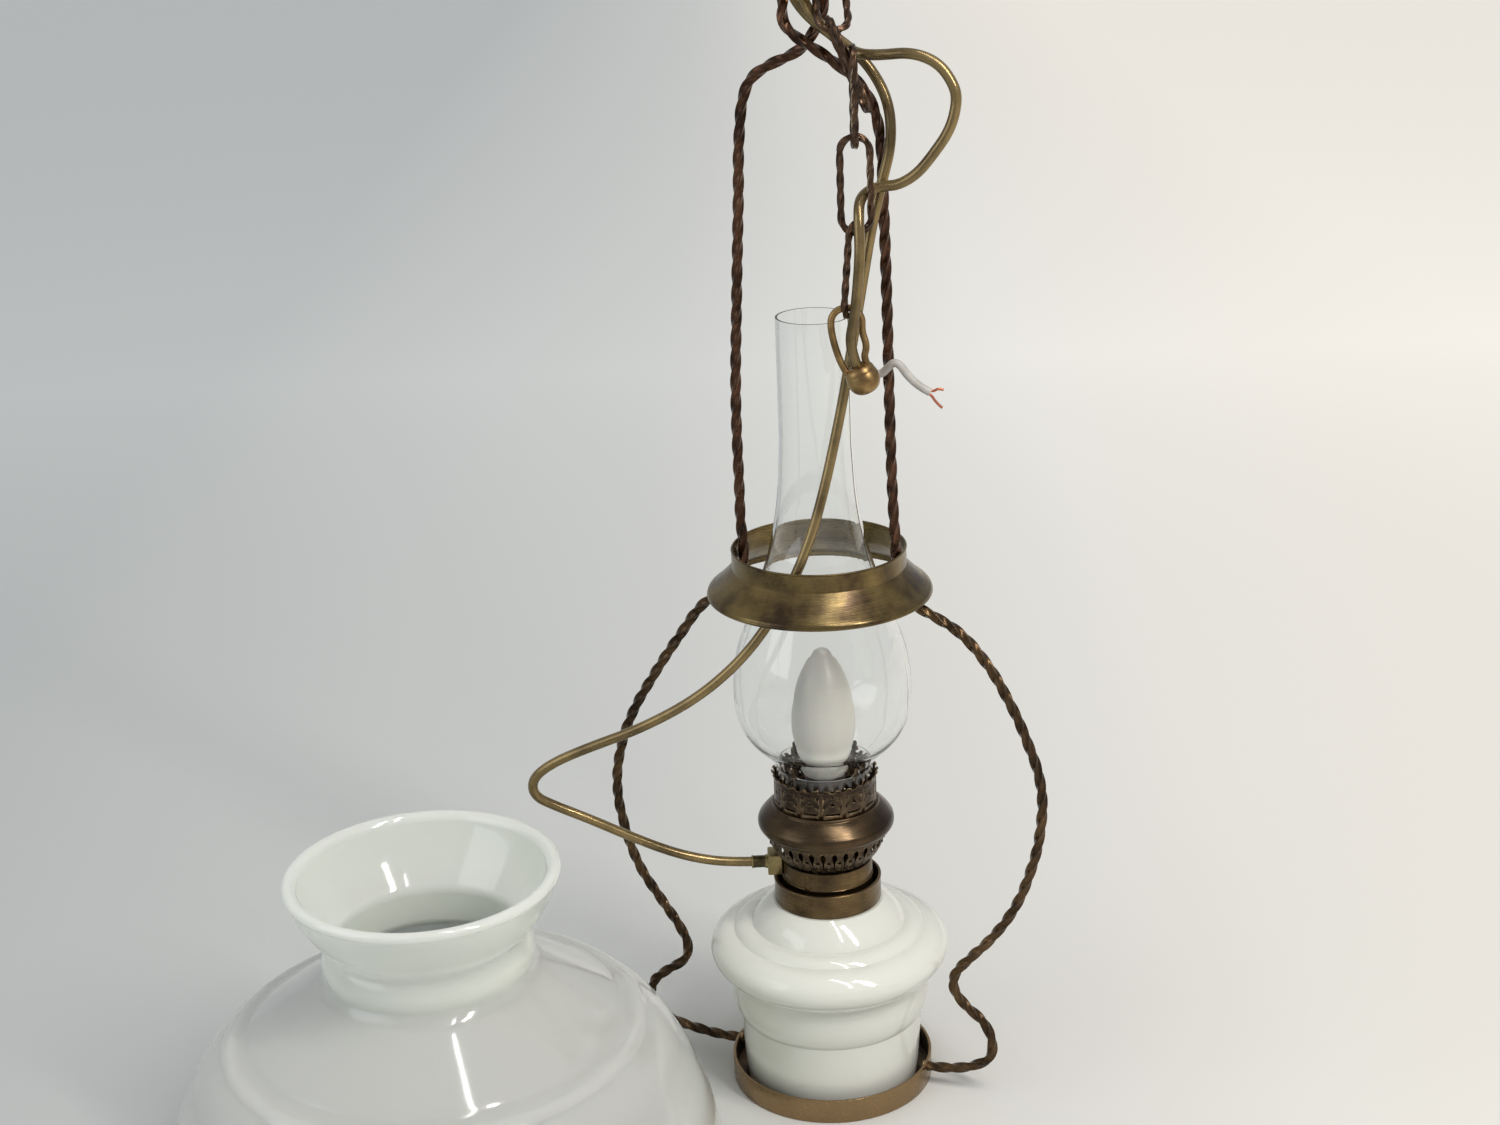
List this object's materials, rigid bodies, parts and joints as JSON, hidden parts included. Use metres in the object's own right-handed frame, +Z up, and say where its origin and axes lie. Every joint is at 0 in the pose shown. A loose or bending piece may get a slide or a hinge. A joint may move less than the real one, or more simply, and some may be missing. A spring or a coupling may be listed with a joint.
{
  "type": "hanging lamp",
  "caption": "Hanging oil lamp made electric: twisted brass harp frame, milk glass font and shade, pierced burner, clear chimney, link chain laced with a cord",
  "frame": {"origin": "on the lamp's axis, level with the underside of the holder ring, which stands on the floor", "axes": "+Z up along the lamp's axis to the hanging eye, +X across the two arms of the frame, towards the arm that passes in front of the other at the eye"},
  "size_m": [0.4432, 0.374, 0.66],
  "materials": {
    "milk_glass": "gloss",
    "clear_glass": "gloss",
    "pearl_glass": "satin",
    "dark_bronze": "satin",
    "golden_bronze": "satin",
    "spun_brass": "brushed",
    "aged_brass": "satin",
    "bright_brass": "satin",
    "nickel": "gloss",
    "lampholder_shell": "matte",
    "gold_cord": "satin",
    "grey_lead": "matte",
    "copper": "satin"
  },
  "bodies": {
    "lamp": {"holder_ring": "golden_bronze", "foot_rivets": "golden_bronze", "harp_left": "golden_bronze", "harp_right": "golden_bronze", "hanger_bail": "dark_bronze", "shade_ring": "spun_brass", "font": "milk_glass", "font_collar": "aged_brass", "burner_base": "aged_brass", "lower_gallery": "aged_brass", "burner_dome": "aged_brass", "chimney_gallery": "aged_brass", "burner_crown": "aged_brass", "lampholder_stem": "bright_brass", "lampholder": "lampholder_shell", "center_contact": "bright_brass", "gland_block": "bright_brass", "gland_tube": "bright_brass", "chain_link_1": "dark_bronze", "chain_link_2": "dark_bronze", "chain_link_3": "dark_bronze", "cord_supply": "gold_cord"},
    "chimney": {"chimney": "clear_glass"},
    "bulb_carrier": {"bulb_tip": "nickel"},
    "bulb": {"bulb_cap": "nickel", "bulb_glass": "pearl_glass"},
    "chain_tail": {"chain_link_4": "dark_bronze", "chain_link_5": "dark_bronze", "hook_loop": "bright_brass", "cord_grip": "bright_brass", "cord_tail": "gold_cord", "inner_lead": "grey_lead", "copper_strand_upper": "copper", "copper_strand_lower": "copper"},
    "shade": {"glass_shade": "milk_glass"}
  },
  "joints": [
    {"name": "chimney_lift", "type": "slide", "parent": "lamp", "child": "chimney", "axis": [0, 0, 1], "range_m": [0, 0.02]},
    {"name": "bulb_rise", "type": "slide", "parent": "lamp", "child": "bulb_carrier", "axis": [0, 0, 1], "range_m": [0, 0.0085]},
    {"name": "bulb_turn", "type": "hinge", "parent": "bulb_carrier", "child": "bulb", "pos_m": [0, 0, 0.17], "axis": [0, 0, 1], "range_deg": [0, 1080]},
    {"name": "chain_swing", "type": "hinge", "parent": "lamp", "child": "chain_tail", "pos_m": [0.03211, -0.02449, 0.53697], "axis": [0.342, -0.9397, 0], "range_deg": [-10, 10], "deforming": ["cord_tail"]},
    {"name": "shade_lift", "type": "slide", "parent": "lamp", "child": "shade", "axis": [0, 0, 1], "range_m": [0, 0.06]}
  ],
  "couplings": [
    {"joint": "bulb_rise", "follows": "bulb_turn", "m_per_rad": 0.000449}
  ]
}
